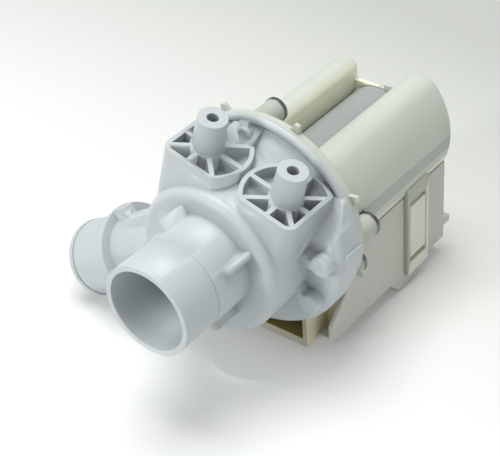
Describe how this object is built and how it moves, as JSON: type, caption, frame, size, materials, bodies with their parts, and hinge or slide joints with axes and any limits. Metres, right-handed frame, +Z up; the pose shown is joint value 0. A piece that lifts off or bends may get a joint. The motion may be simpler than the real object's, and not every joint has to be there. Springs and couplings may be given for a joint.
{
  "type": "washer drain pump",
  "caption": "Drain pump with an inlet and a side outlet hose spout, screw bosses on its volute, a magnet rotor with impeller, and a coil motor behind.",
  "frame": {"origin": "centre of the inlet spout's mouth", "axes": "+Y along the pump axis from the inlet towards the motor, +Z up, +X to the right seen from the inlet"},
  "size_m": [0.1392, 0.1655, 0.116],
  "materials": {
    "cover_plastic": "satin light grey moulding",
    "seal_rubber": "matte black rubber",
    "impeller_plastic": "satin white moulding",
    "carbon_plastic": "dull dark grey",
    "shaft_steel": "ground steel",
    "ferrite": "dark sintered ferrite",
    "can_plastic": "satin blue-grey moulding",
    "housing_plastic": "satin pale green-white moulding",
    "screw_steel": "dark zinc plate",
    "lamination_steel": "varnished laminations",
    "frame_plastic": "satin beige moulding",
    "winding_tape": "olive winding tape over enamelled copper",
    "box_plastic": "satin warm off-white moulding",
    "terminal_brass": "tinned brass"
  },
  "bodies": {
    "pump_body": {"pump_cover": "cover_plastic", "cover_seal": "seal_rubber", "front_bearing": "carbon_plastic", "front_bearing_mount": "seal_rubber", "rear_bearing": "carbon_plastic", "rear_bearing_mount": "seal_rubber", "rotor_can": "can_plastic", "motor_housing": "housing_plastic", "cover_screws": "screw_steel", "pole_stack_left": "lamination_steel", "pole_stack_right": "lamination_steel", "yoke_stack": "lamination_steel", "coil_former_left": "frame_plastic", "coil_former_right": "frame_plastic", "winding_left": "winding_tape", "winding_right": "winding_tape", "coil_frame": "frame_plastic", "coil_cover": "box_plastic", "terminals": "terminal_brass"},
    "rotor": {"rotor_shaft": "shaft_steel", "rotor_magnet": "ferrite", "impeller_driver": "carbon_plastic", "thrust_washers": "carbon_plastic"},
    "impeller": {"impeller": "impeller_plastic"}
  },
  "joints": [
    {"name": "rotor_spin", "type": "hinge", "parent": "pump_body", "child": "rotor", "pos_m": [0, 0.1, 0], "axis": [0, 1, 0], "continuous": true},
    {"name": "impeller_play", "type": "hinge", "parent": "rotor", "child": "impeller", "pos_m": [0, 0.06, 0], "axis": [0, 1, 0], "range_deg": [-108, 108]}
  ]
}
